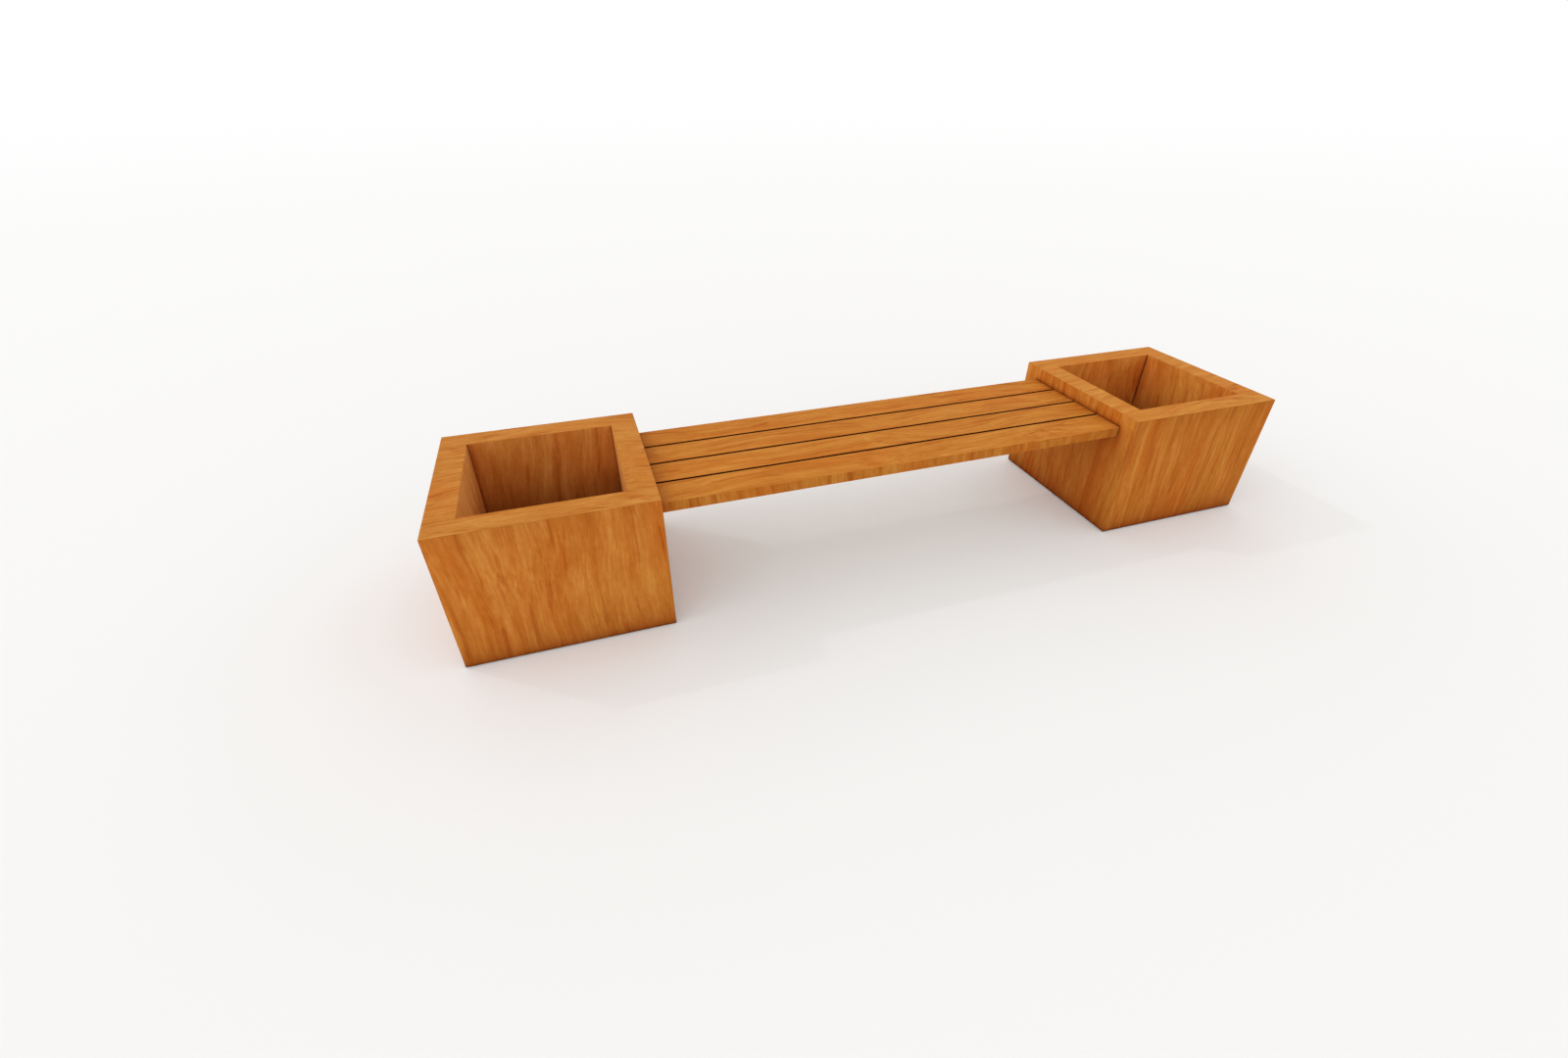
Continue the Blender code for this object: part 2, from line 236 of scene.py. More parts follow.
def figured_wood(name, middle_colour, lift=None, marks_and_shade=None):
    """Oiled wood with a streaky figure: along the bench on level faces, and up the sides on upright ones.

    lift moves the place that the figure is read at, and the last argument adds stains and plies, and
    painted shade and light, to the surface.
    """
    finish = new_finish(name)
    real_place = read(finish, "Object")
    facing = read(finish, "Normal")
    place = lift(real_place) if lift else real_place
    level = abs(facing.part("Z")).rises(0.6, 0.8)

    # The fibres lean and fan out slowly, and wander by a few millimetres over a hand's width
    lean = place.noise(1.9, 0.5, 0.35, "Color").vector("SUBTRACT", MIDDLE_GREY)
    wander = place.noise(10.0, 1.0, 0.5, "Color").vector("SUBTRACT", MIDDLE_GREY)
    bent = place.vector("ADD", lean.vector("MULTIPLY", LEAN))
    bent = bent.vector("ADD", wander.vector("MULTIPLY", WANDER))
    upright = bent.vector("MULTIPLY", FIBRE_UPRIGHT)
    fibre = upright.mixed(bent.vector("MULTIPLY", FIBRE_LYING), level)
    long_upright = bent.vector("MULTIPLY", LONG_FIBRE_UPRIGHT)
    long_fibre = long_upright.mixed(bent.vector("MULTIPLY", LONG_FIBRE_LYING), level)

    # Broad bands, streaks, fine lines, hairs and a little curl add up to the tone
    bands = long_fibre.noise(25.0, 1.0, 0.5)
    streaks = fibre.noise(52.0, 3.0, 0.58)
    lines = long_fibre.noise(130.0, 2.0, 0.6)
    hairs = fibre.noise(330.0, 2.0, 0.6)
    curl = bent.noise(48.0, 2.0, 0.6)
    tone = (bands - 0.5) * 0.85 + (streaks - 0.5) * 0.95 + (lines - 0.5) * 0.75
    tone = tone + (hairs - 0.5) * 0.5 + (curl - 0.5) * 0.30
    tone = tone * (1 - level * 0.12) + 0.5
    colour = tone.node("ShaderNodeValToRGB", {"stops": streak_stops(middle_colour)}, {0: tone})

    # Redder and more golden clouds, a few narrow reddish veins and short dark pores
    clouds = fibre.vector("MULTIPLY", (1.0, 1.0, 2.2)).noise(5.5, 2.0, 0.5)
    colour = colour.stained(REDDER, clouds.rises(0.47, 0.66))
    golden = (1 - clouds.rises(0.34, 0.50)) * (1 - level * 0.9)
    colour = colour.stained(MORE_GOLDEN, golden)
    veins = long_fibre.noise(48.0, 1.0, 0.4).rises(0.60, 0.71)
    colour = colour.stained(VEIN, veins * 0.85)
    pores = fibre.noise(1150.0, 1.0, 0.5).rises(0.64, 0.74)
    colour = colour.stained(PORE, pores * 0.3)

    # Arrises rubbed a little paler
    flatness = abs(facing.part("X")).math("MAXIMUM", abs(facing.part("Y")))
    flatness = flatness.math("MAXIMUM", abs(facing.part("Z")))
    rubbed = (1 - flatness.rises(0.78, 0.97)) * 0.35
    colour = colour.mixed((*streak_stops(middle_colour)[-1][1], 1.0), rubbed)
    if marks_and_shade:
        colour = marks_and_shade(real_place, facing, colour)
    feed(finish, "Base Color", colour)
    feed(finish, "Roughness", 0.54 - hairs * 0.10 + pores * 0.12)
    roughen(finish, hairs * 0.6 - pores, 0.18, 0.0003)
    shader_of(finish).inputs["Specular IOR Level"].default_value = 0.012
    return finish


def block(name, low, high):
    """A block of stock that fills a box, with its place in its mesh."""
    low, high = Vector(low), Vector(high)
    bpy.ops.object.select_all(action="DESELECT")
    bpy.ops.mesh.primitive_cube_add(size=1.0, location=(low + high) / 2, scale=high - low)
    piece = bpy.context.active_object
    piece.name = name
    bpy.ops.object.transform_apply(location=True, rotation=True, scale=True)
    return piece


def pick(piece, kind, wanted):
    """Opens a piece in edit mode with those of its edges or faces selected whose middle is wanted."""
    bpy.context.view_layer.objects.active = piece
    bpy.ops.object.mode_set(mode="EDIT")
    bpy.ops.mesh.select_mode(type=kind)
    bpy.ops.mesh.select_all(action="DESELECT")
    work = bmesh.from_edit_mesh(piece.data)
    for part in work.edges if kind == "EDGE" else work.faces:
        middle = sum((corner.co for corner in part.verts), Vector()) / len(part.verts)
        part.select_set(wanted(middle))
    bmesh.update_edit_mesh(piece.data)


def put_down():
    bpy.ops.object.mode_set(mode="OBJECT")


def ease(piece, radius, wanted, steps=4):
    """Rounds the edges whose middle is wanted."""
    pick(piece, "EDGE", wanted)
    bpy.ops.mesh.bevel(offset=radius, segments=steps, profile=0.5, affect="EDGES")
    put_down()


def saw(piece, point, outward):
    """Takes off what lies past a plane and closes the cut."""
    pick(piece, "FACE", lambda middle: True)
    bpy.ops.mesh.bisect(
        plane_co=point, plane_no=outward, use_fill=True, clear_outer=True, threshold=MEETING
    )
    put_down()


def copy_of(piece, name, turn=0.0, shift=(0.0, 0.0, 0.0)):
    """A copy with its own mesh, turned about the vertical by degrees, then moved, all in its mesh."""
    twin = piece.copy()
    twin.data = piece.data.copy()
    twin.name = name
    bpy.context.collection.objects.link(twin)
    twin.matrix_world = Matrix.Translation(shift) @ Matrix.Rotation(math.radians(turn), 4, "Z")
    bpy.ops.object.select_all(action="DESELECT")
    twin.select_set(True)
    bpy.context.view_layer.objects.active = twin
    bpy.ops.object.transform_apply(location=True, rotation=True, scale=True)
    return twin


def apply(piece, modifier):
    bpy.context.view_layer.objects.active = piece
    bpy.ops.object.modifier_apply(modifier=modifier.name)


def sand(piece):
    """Merges points that lie on one another, and smooths the shading over the rounded edges alone."""
    bpy.ops.object.select_all(action="DESELECT")
    piece.select_set(True)
    pick(piece, "FACE", lambda middle: True)
    bpy.ops.mesh.remove_doubles(threshold=MEETING)
    put_down()
    bpy.ops.object.shade_smooth_by_angle(angle=SMOOTH_ANGLE)
    weighted = piece.modifiers.new("flat_faces", "WEIGHTED_NORMAL")
    weighted.keep_sharp = True
    apply(piece, weighted)


def tinted_near(colour, distance, reach, tint, share=1.0):
    """A tint that is strongest where the distance is 0 and thins out over its reach: painted shade at the
    foot, joints, gaps and ends, and the darker band below the rim.
    """
    amount = (abs(distance) * (-1 / reach)).math("EXPONENT") * share
    return colour.stained(tint, amount)


def sawn_plies(place, facing, colour):
    """The plies of a sheet, seen on its sawn lower edge."""
    from_middle = abs(abs(place.part("X")) - PLANTER_X["right"]).math("MAXIMUM", abs(place.part("Y")))
    ply = (from_middle * (math.pi / PLY)).math("SINE").rises(-0.4, 0.4)
    sawn = (facing.part("Z") * -1).rises(0.8, 0.95)
    plies = colour.stained(DARK_PLY, ply)
    return colour.mixed(plies, sawn)


def plies_and_foot_shade(place, facing, colour):
    """The sawn plies, painted shade at the foot with a ragged top, and a painted contact shadow line along
    the lower edge.
    """
    colour = sawn_plies(place, facing, colour)
    height = place.part("Z")
    ragged_height = height + (place.noise(9.0, 2.0, 0.5) - 0.5) * 0.02
    colour = tinted_near(colour, ragged_height, FOOT_SHADE_HEIGHT, FOOT_SHADE)
    return tinted_near(colour, height - GROUND_GAP, FOOT_SHADOW_LINE_HEIGHT, FOOT_SHADOW_LINE)


def foot_shade_and_dark_top(place, facing, colour):
    """Plies and painted shade at the foot, and a band darker just below the rim top."""
    colour = plies_and_foot_shade(place, facing, colour)
    return tinted_near(colour, place.part("Z") - RIM_TOP, DARKER_BELOW_RIM_REACH, DARKER_BELOW_RIM)


def seat_joint(place, facing, colour):
    """Plies and painted shade at the foot, painted shade below the seat, a painted highlight on the strip
    above it, and a painted shadow line and painted shade along the joint.
    """
    colour = plies_and_foot_shade(place, facing, colour)
    aside = abs(place.part("Y"))
    above = place.part("Z") - SEAT_TOP
    under_seat = 1 - aside.rises(SEAT_HALF_DEPTH - 0.03, SEAT_HALF_DEPTH + 0.04)
    under_seat = under_seat * (1 - above.rises(-0.030, -0.005))
    colour = colour.stained(SHADE_BELOW_SEAT, under_seat)
    colour = colour.stained(LIGHT_ABOVE_SEAT, above.rises(0.004, 0.020))
    across = 1 - aside.rises(SEAT_HALF_DEPTH - 0.002, SEAT_HALF_DEPTH + 0.002)
    colour = tinted_near(colour, above, SHADOW_LINE_REACH, JOINT_SHADOW_LINE, across)
    return tinted_near(colour, above, JOINT_SHADE_REACH, JOINT_SHADE, across)


def log_of(side):
    """The log that a planter's veneer was cut from: a stretch of its own, with closer streaks."""
    return lambda place: place.vector("MULTIPLY", LOG_CLOSENESS[side]).vector("ADD", LOG_START[side])


veneer = {}
for side, colour in VENEER_COLOUR.items():
    veneer[side] = figured_wood(f"{side}_veneer", colour, log_of(side), foot_shade_and_dark_top)
    veneer[side, "seat"] = figured_wood(f"{side}_veneer_by_seat", colour, log_of(side), seat_joint)
panel_blank = block(
    "panel_blank",
    (-HALF_SIDE, -HALF_SIDE, GROUND_GAP),
    (HALF_SIDE, SKIN - HALF_SIDE, RIM_TOP),
)
ease(panel_blank, CORNER_RADIUS, lambda at: at.y < -HALF_SIDE + HAIR and at.z > GROUND_GAP + HAIR)
ease(panel_blank, FOOT_RADIUS, lambda at: at.y < -HALF_SIDE + 10 * HAIR and at.z < GROUND_GAP + HAIR)
for hand in (-1, 1):
    mitre = Vector((hand, 1, 0)).normalized()
    saw(panel_blank, -mitre * JOINT_GAP / 2, mitre)
mitre = Vector((0, 1, 1)).normalized()
saw(panel_blank, Vector((0, -HALF_SIDE, RIM_TOP)) - mitre * JOINT_GAP / 2, mitre)

for side, walls in WALL_TURNS.items():
    for wall, turn in walls.items():
        panel = copy_of(panel_blank, f"{side}_{wall}_show_panel", turn, (PLANTER_X[side], 0, 0))
        sand(panel)
        panel.data.materials.append(veneer[side, "seat"] if wall == "seat" else veneer[side])
        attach(panel, "root")
        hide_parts(f"{side}_planter_{wall}_panel")
bpy.data.objects.remove(panel_blank)


# Linings: the same veneered plywood inside each planter. Each one stands on the bottom frame and is mitred
# to the rim. Their upright corners are open joints 4 mm wide, which let wet panels swell and read as dark
# lines.

LINING_LOW, LINING_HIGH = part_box("left_planter_front_lining")
INNER_HALF = -LINING_HIGH.y
CORNER_GAP = 0.004
GAP_ARRIS = 0.0007
# The linings are paler than the show panels: painted light inside the planters
LINING_COLOUR = {"left": (0.590, 0.206, 0.0375), "right": (0.622, 0.208, 0.0325)}
# A paler, bluer lining for two walls of the left planter: painted sheen
SHEEN_LINING_COLOUR = (0.690, 0.280, 0.0680)
SOIL_LINE = 0.34
SOIL_STAIN_DEPTH = 0.22
DAMP = (0.55, 0.50, 0.54)


def soil_stain(place, facing, colour):
    """The plies on the sawn edge, and the wood gone darker and browner below the soil line."""
    colour = sawn_plies(place, facing, colour)
    height = place.part("Z") + (place.noise(7.0, 2.0, 0.5) - 0.5) * 0.03
    damp = 1 - height.rises(SOIL_LINE - SOIL_STAIN_DEPTH, SOIL_LINE)
    return colour.stained(DAMP, damp)


lining_veneer = {}
for side, colour in LINING_COLOUR.items():
    lining_veneer[side] = figured_wood(f"{side}_lining_veneer", colour, marks_and_shade=soil_stain)
sheen_veneer = figured_wood("sheen_lining_veneer", SHEEN_LINING_COLOUR, marks_and_shade=soil_stain)
lining_blank = block(
    "lining_blank",
    (-INNER_HALF - SKIN, -INNER_HALF - SKIN, LINING_LOW.z),
    (INNER_HALF + SKIN, -INNER_HALF, RIM_TOP),
)
ease(lining_blank, CORNER_RADIUS, lambda at: at.y > -INNER_HALF - HAIR and at.z > RIM_TOP - HAIR)
for hand in (-1, 1):
    mitre = Vector((hand, 1, 0)).normalized()
    saw(lining_blank, -mitre * CORNER_GAP / 2, mitre)
ease(
    lining_blank,
    GAP_ARRIS,
    lambda at: at.y > -INNER_HALF - HAIR and abs(at.x) > INNER_HALF / 2 and at.z < RIM_TOP - SKIN,
    steps=2,
)
mitre = Vector((0, -1, 1)).normalized()
saw(lining_blank, Vector((0, -INNER_HALF, RIM_TOP)) - mitre * JOINT_GAP / 2, mitre)

for side, walls in WALL_TURNS.items():
    for wall, turn in walls.items():
        lining = copy_of(lining_blank, f"{side}_{wall}_lining", turn, (PLANTER_X[side], 0, 0))
        sand(lining)
        # The end and seat walls of the left planter get the painted sheen
        has_sheen = side == "left" and wall in ("end", "seat")
        lining.data.materials.append(sheen_veneer if has_sheen else lining_veneer[side])
        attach(lining, "root")
        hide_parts(f"{side}_planter_{wall}_lining")
bpy.data.objects.remove(lining_blank)


# Rims: a flat frame 80 mm wide on top of each planter, sawn from one sheet of the same plywood, so its
# grain runs along the bench on all four sides. It is undercut on both edges to meet the mitred panels and
# linings, and glued down on the top frame.

# The right rim is paler than the left: painted light
RIM_COLOUR = {"left": (0.550, 0.202, 0.0340), "right": (0.578, 0.217, 0.0330)}


def joined(pieces):
    """One piece out of several, named as the first."""
    bpy.ops.object.select_all(action="DESELECT")
    for piece in pieces:
        piece.select_set(True)
    bpy.context.view_layer.objects.active = pieces[0]
    if len(pieces) > 1:
        bpy.ops.object.join()
    return pieces[0]


rim_veneer = {side: figured_wood(f"{side}_rim_veneer", colour) for side, colour in RIM_COLOUR.items()}
rim_blank = block("rim_blank", (-HALF_SIDE, -HALF_SIDE, RIM_TOP - SKIN), (HALF_SIDE, -INNER_HALF, RIM_TOP))
ease(rim_blank, CORNER_RADIUS, lambda at: at.z > RIM_TOP - HAIR and abs(at.x) < SKIN)
for edge_y, hand in ((-HALF_SIDE, -1), (-INNER_HALF, 1)):
    undercut = Vector((0, hand, -1)).normalized()
    saw(rim_blank, Vector((0, edge_y, RIM_TOP)) - undercut * JOINT_GAP / 2, undercut)
for hand in (-1, 1):
    pick(rim_blank, "FACE", lambda middle: True)
    bpy.ops.mesh.bisect(plane_co=(0, 0, 0), plane_no=(hand, 1, 0), clear_outer=True, threshold=MEETING)
    put_down()

for side in WALL_TURNS:
    quarters = []
    for turn in (0, 90, 180, 270):
        quarters.append(copy_of(rim_blank, f"{side}_rim", turn, (PLANTER_X[side], 0, 0)))
    rim = joined(quarters)
    pick(rim, "FACE", lambda middle: True)
    bpy.ops.mesh.remove_doubles(threshold=HAIR)
    put_down()
    sand(rim)
    rim.data.materials.append(rim_veneer[side])
    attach(rim, "root")
    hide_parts(f"{side}_planter_rim")
bpy.data.objects.remove(rim_blank)


# Seat boards: four planed hardwood boards, 112 by 33 mm, laid along the bench with 8 mm gaps to shed rain.
# Their edges are eased and they are oiled like the planters. They are screwed to the battens from below.

seat_boards = [f"seat_board_{number}" for number in range(1, 5)]
BOARD_RADIUS = 0.001
BOARD_END_GAP = 0.0022
SEAT_COLOUR = (0.545, 0.192, 0.0268)
PLANK_STEP = (3.7, 0.61, 1.3)
# Painted shade on the boards' upright faces and deep inside the gaps, painted shade along the gap edges on
# top, and a painted shadow line and painted shade at the board ends
BOARD_SIDE_SHADE = (0.84, 0.81, 0.84)
GAP_SIDE_SHADE = (0.09, 0.045, 0.05)
GAP_EDGE_SHADE = (0.43, 0.29, 0.29)
GAP_EDGE_SHADE_REACH = 0.0016
END_SHADOW_LINE = (0.50, 0.36, 0.30)
END_SHADE = (0.86, 0.80, 0.78)
BARE_COLOUR = (0.575, 0.555, 0.515, 1.0)
BARE_SHARE = 0.80
BOARD_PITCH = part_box(seat_boards[1])[0].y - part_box(seat_boards[0])[0].y
SEAT_GAP = BOARD_PITCH - (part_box(seat_boards[0])[1].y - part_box(seat_boards[0])[0].y)
SEAT_HALF_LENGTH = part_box(seat_boards[0])[1].x


def board_by_board(place):
    """Shifts the figure along from each board to the next, as each is sawn from its own plank."""
    number = (place.part("Y") * (1 / BOARD_PITCH)).math("FLOOR")
    shift = {axis: number * step for axis, step in enumerate(PLANK_STEP)}
    return place.vector("ADD", number.node("ShaderNodeCombineXYZ", {}, shift))


def edges_and_underside(place, facing, colour):
    """Upright faces darker than the top as painted shade, deep painted shade in the gaps, painted shadow at
    the ends by the planters, and a bare grey underside.
    """
    up = facing.part("Z")
    upright = 1 - abs(up).rises(0.3, 0.8)
    aside = abs(place.part("Y"))
    outer_edge = aside.rises(SEAT_HALF_DEPTH - 0.0012, SEAT_HALF_DEPTH - 0.0008)
    colour = colour.stained(BOARD_SIDE_SHADE, upright)
    colour = colour.stained(GAP_SIDE_SHADE, upright * (1 - outer_edge))
    from_gap = place.part("Y").math("PINGPONG", BOARD_PITCH / 2) - SEAT_GAP / 2
    inner = 1 - aside.rises(SEAT_HALF_DEPTH - 0.03, SEAT_HALF_DEPTH - 0.02)
    colour = tinted_near(colour, from_gap, GAP_EDGE_SHADE_REACH, GAP_EDGE_SHADE, inner)
    from_end = SEAT_HALF_LENGTH - abs(place.part("X"))
    colour = tinted_near(colour, from_end, SHADOW_LINE_REACH, END_SHADOW_LINE)
    colour = tinted_near(colour, from_end, JOINT_SHADE_REACH, END_SHADE)
    return colour.mixed(BARE_COLOUR, (up * -1).rises(0.985, 0.998) * BARE_SHARE)


seat_wood = figured_wood("seat_wood", SEAT_COLOUR, board_by_board, edges_and_underside)
for name in seat_boards:
    low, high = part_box(name)
    short = Vector((BOARD_END_GAP, 0, 0))
    board = block(f"{name}_planed", low + short, high - short)
    ease(board, BOARD_RADIUS, lambda at: True)
    sand(board)
    board.data.materials.append(seat_wood)
    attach(board, "root")
    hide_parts(name)


# Frame timber: planed and unfinished softwood that nobody sees, glued up inside the hollow walls. The top
# frames, the corner posts and the rails behind the seat keep their CAD solids.

TIMBER_DARK = (0.40, 0.205, 0.080)
TIMBER_PALE = (0.53, 0.315, 0.145)
RING_PITCH = 0.0042
RING_BEND = (0.05, 0.05, 0.05)
HEART = (0.31, 0.27, 0.24)
DRAWN_OUT = 0.06


def plain_timber(name, along):
    """Planed softwood with its year rings drawn out along one axis, 0 for X, 1 for Y and 2 for Z."""
    finish = new_finish(name)
    place = read(finish, "Object")
    bend = place.noise(3.0, 2.0, 0.5, "Color").vector("SUBTRACT", MIDDLE_GREY)
    bent = place.vector("ADD", bend.vector("MULTIPLY", RING_BEND))
    drawn = [1.0, 1.0, 1.0]
    drawn[along] = DRAWN_OUT
    fibre = bent.vector("MULTIPLY", tuple(drawn))
    distance = fibre.vector("ADD", HEART).vector("LENGTH", out="Value")
    ring = (distance * (2 * math.pi / RING_PITCH)).math("SINE")
    late = (ring * 0.5 + 0.5) * 0.7 + fibre.noise(240.0, 2.0, 0.6) * 0.5
    hairs = fibre.noise(700.0, 2.0, 0.6)
    clouds = place.noise(9.0, 2.0, 0.5)
    tone = late * 0.6 + clouds * 0.3 + hairs * 0.15
    stops = [(0.30, TIMBER_PALE), (0.95, TIMBER_DARK)]
    feed(finish, "Base Color", tone.node("ShaderNodeValToRGB", {"stops": stops}, {0: tone}))
    feed(finish, "Roughness", 0.72 - late * 0.10)
    roughen(finish, hairs - late * 0.4, 0.25, 0.0003)
    shader_of(finish).inputs["Specular IOR Level"].default_value = 0.25
    return finish


timber = {axis: plain_timber(f"timber_along_{axis}", number) for number, axis in enumerate("xyz")}
for side in WALL_TURNS:
    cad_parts[f"{side}_planter_top_frame"].material_slots[0].material = timber["x"]
    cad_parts[f"{side}_planter_seat_rail"].material_slots[0].material = timber["y"]
    for number in range(1, 5):
        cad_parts[f"{side}_planter_post_{number}"].material_slots[0].material = timber["z"]


# Bottom frames: four timbers, 92 by 44 mm, under the walls of each planter, half lapped and glued at the
# corners. The planter stands on them. They reach 30 mm inside the linings as a ledge for the floor.

FLOOR_LEDGE = 0.030
FRAME_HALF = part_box("left_planter_bottom_frame")[1].y
FRAME_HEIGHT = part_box("left_planter_bottom_frame")[1].z
FRAME_INNER = INNER_HALF - FLOOR_LEDGE
FRAME_ARRIS = 0.0012


def lapped_timber(name, keeps_lower_half):
    """The -Y timber of a frame, with half of its thickness left at each end to lap over the next timber."""
    piece = block(name, (-FRAME_INNER, -FRAME_HALF, 0), (FRAME_INNER, -FRAME_INNER, FRAME_HEIGHT))
    pick(piece, "FACE", lambda middle: True)
    bpy.ops.mesh.bisect(plane_co=(0, 0, FRAME_HEIGHT / 2), plane_no=(0, 0, 1), threshold=MEETING)
    put_down()
    for hand in (-1, 1):
        pick(
            piece,
            "FACE",
            lambda at: at.x * hand > FRAME_INNER - HAIR and (at.z < FRAME_HEIGHT / 2) == keeps_lower_half,
        )
        reach = hand * (FRAME_HALF - FRAME_INNER)
        bpy.ops.mesh.extrude_region_move(TRANSFORM_OT_translate={"value": (reach, 0, 0)})
        put_down()
    ease(piece, FRAME_ARRIS, lambda at: at.z < HAIR or at.z > FRAME_HEIGHT - HAIR, steps=2)
    return piece


lap_under = lapped_timber("lap_under", True)
lap_over = lapped_timber("lap_over", False)
for side, walls in WALL_TURNS.items():
    for wall, turn in walls.items():
        lies_along_bench = wall in ("front", "back")
        shape = lap_under if lies_along_bench else lap_over
        piece = copy_of(shape, f"{side}_{wall}_bottom_timber", turn, (PLANTER_X[side], 0, 0))
        sand(piece)
        piece.data.materials.append(timber["x"] if lies_along_bench else timber["y"])
        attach(piece, "root")
    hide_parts(f"{side}_planter_bottom_frame")
bpy.data.objects.remove(lap_under)
bpy.data.objects.remove(lap_over)


# Wood screws: zinc-plated steel, countersunk, with a cross recess in a head 8 mm wide. They hold the floor
# boards to the ledge, the seat boards to the battens and the end battens to the angles.

SCREW_HEAD = 0.0040
SCREW_SHANK = 0.0019
SCREW_CONE = 0.0026
SCREW_LENGTH = 0.032
SCREW_RIM = 0.0003
SCREW_POINT = 0.006
SCREW_TIP = 0.0002
SCREW_SINK = 0.0004
SCREW_SIDES = 20
BIT_CLEARANCE = 0.00015
CROSS_LENGTH = 0.0042
CROSS_WIDTH = 0.0010
CROSS_DEPTH = 0.0016

# Degrees that the turn of a screw's cross grows by with its place, so that it differs from screw to screw
FLOOR_TURN_X = 7919
FLOOR_TURN_Y = 3571
BATTEN_TURN_Y = 5171
BATTEN_TURN = 61
SHELF_TURN_Y = 4409
SHELF_TURN = 31

ZINC = (0.56, 0.57, 0.58)
ZINC_DULL = (0.4368, 0.4503, 0.4872)
ZINC_BRIGHT = (0.6496, 0.6498, 0.6148)


def zinc_plate(name):
    """Dull zinc plate: cloudy, a little bluer and yellower in places, with faint rolling marks."""
    finish = new_finish(name)
    place = read(finish, "Object")
    clouds = place.noise(60.0, 3.0, 0.6)
    specks = place.noise(700.0, 2.0, 0.6)
    tone = clouds * 0.75 + specks * 0.25
    stops = [(0.30, ZINC_DULL), (0.50, ZINC), (0.72, ZINC_BRIGHT)]
    feed(finish, "Base Color", tone.node("ShaderNodeValToRGB", {"stops": stops}, {0: tone}))
    feed(finish, "Roughness", 0.30 + clouds * 0.28)
    roughen(finish, specks, 0.12, 0.0002)
    shader_of(finish).inputs["Metallic"].default_value = 1.0
    return finish


def cylinder(name, radius, low, high, sides):
    """A round blank on the Z axis between two heights."""
    bpy.ops.object.select_all(action="DESELECT")
    middle = (0, 0, (low + high) / 2)
    bpy.ops.mesh.primitive_cylinder_add(vertices=sides, radius=radius, depth=high - low, location=middle)
    piece = bpy.context.active_object
    piece.name = name
    bpy.ops.object.transform_apply(location=True, rotation=True, scale=True)
    return piece


def combine(piece, tool, operation="DIFFERENCE"):
    """Cuts a tool out of a piece, or makes their union or what they share, and clears the tool away."""
    step = piece.modifiers.new("step", "BOOLEAN")
    step.operation = operation
    step.solver = "EXACT"
    step.object = tool
    apply(piece, step)
    bpy.data.objects.remove(tool)


def countersunk_shape(name, clearance):
    """Head at z = 0 and shank down -Z: a cylinder drawn in below the head, then drawn out to a point."""
    piece = cylinder(name, SCREW_HEAD + clearance, -SCREW_RIM, 0.0, SCREW_SIDES)
    for width, depth in (
        (SCREW_SHANK + clearance, SCREW_CONE),
        (SCREW_SHANK + clearance, SCREW_LENGTH - SCREW_CONE - SCREW_POINT),
        (SCREW_TIP + clearance, SCREW_POINT),
    ):
        pick(piece, "FACE", lambda at: at.z < lowest_of(piece) + MEETING)
        bpy.ops.mesh.extrude_region_move(TRANSFORM_OT_translate={"value": (0, 0, -depth)})
        share = width / radius_at_bottom(piece)
        bpy.ops.transform.resize(value=(share, share, 1))
        put_down()
    return piece


def lowest_of(piece):
    return min(corner.co.z for corner in piece.data.vertices)


def radius_at_bottom(piece):
    work = bmesh.from_edit_mesh(piece.data)
    bottom = min(corner.co.z for corner in work.verts)
    return max(corner.co.xy.length for corner in work.verts if corner.co.z < bottom + MEETING)


zinc = zinc_plate("zinc")
screw_blank = countersunk_shape("screw_blank", 0.0)
for length, width in ((CROSS_LENGTH, CROSS_WIDTH), (CROSS_WIDTH, CROSS_LENGTH)):
    low = (-length / 2, -width / 2, -CROSS_DEPTH)
    combine(screw_blank, block("cross", low, (length / 2, width / 2, CROSS_WIDTH)))
bit_blank = countersunk_shape("bit_blank", BIT_CLEARANCE)


def driven(x, y, z, degrees, from_below=False):
    """Where the head of a screw is, with its cross at the turn that it was driven to."""
    place = Matrix.Translation((x, y, z)) @ Matrix.Rotation(math.radians(degrees), 4, "Z")
    return place @ Matrix.Rotation(math.pi, 4, "X") if from_below else place


def set_of(shape, name, places):
    """Copies of a screw or a bit at several places, as one piece."""
    copies = []
    for place in places:
        twin = shape.copy()
        twin.data = shape.data.copy()
        twin.name = name
        bpy.context.collection.objects.link(twin)
        twin.matrix_world = place
        copies.append(twin)
    whole = joined(copies)
    bpy.ops.object.transform_apply(location=True, rotation=True, scale=True)
    return whole


def countersink(piece, places):
    """Drills a piece for its screws."""
    combine(piece, set_of(bit_blank, "bit", places))


# Planter floors: four softwood boards, 101 by 21 mm, with 10 mm gaps that drain the planter. They lie on
# the ledge of the bottom frame, with two screws through each end.

FLOOR_ARRIS = 0.002
FLOOR_SCREW_IN = 0.013
FLOOR_SCREW_SPREAD = 0.030

for side in WALL_TURNS:
    for number in range(1, 5):
        name = f"{side}_planter_floor_board_{number}"
        low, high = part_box(name)
        board = block(f"{side}_floor_board_{number}_planed", low, high)
        ease(board, FLOOR_ARRIS, lambda at: True, steps=3)
        middle_x = (low.x + high.x) / 2
        places = []
        for y in (low.y + FLOOR_SCREW_IN, high.y - FLOOR_SCREW_IN):
            for x in (middle_x - FLOOR_SCREW_SPREAD, middle_x + FLOOR_SCREW_SPREAD):
                turn = FLOOR_TURN_X * x + FLOOR_TURN_Y * y
                places.append(driven(x, y, high.z - SCREW_SINK, turn))
        countersink(board, places)
        sand(board)
        board.data.materials.append(timber["y"])
        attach(board, "root")
        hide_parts(name)
        screws = set_of(screw_blank, f"{side}_floor_board_{number}_screws", places)
        sand(screws)
        screws.data.materials.append(zinc)
        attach(screws, "root")


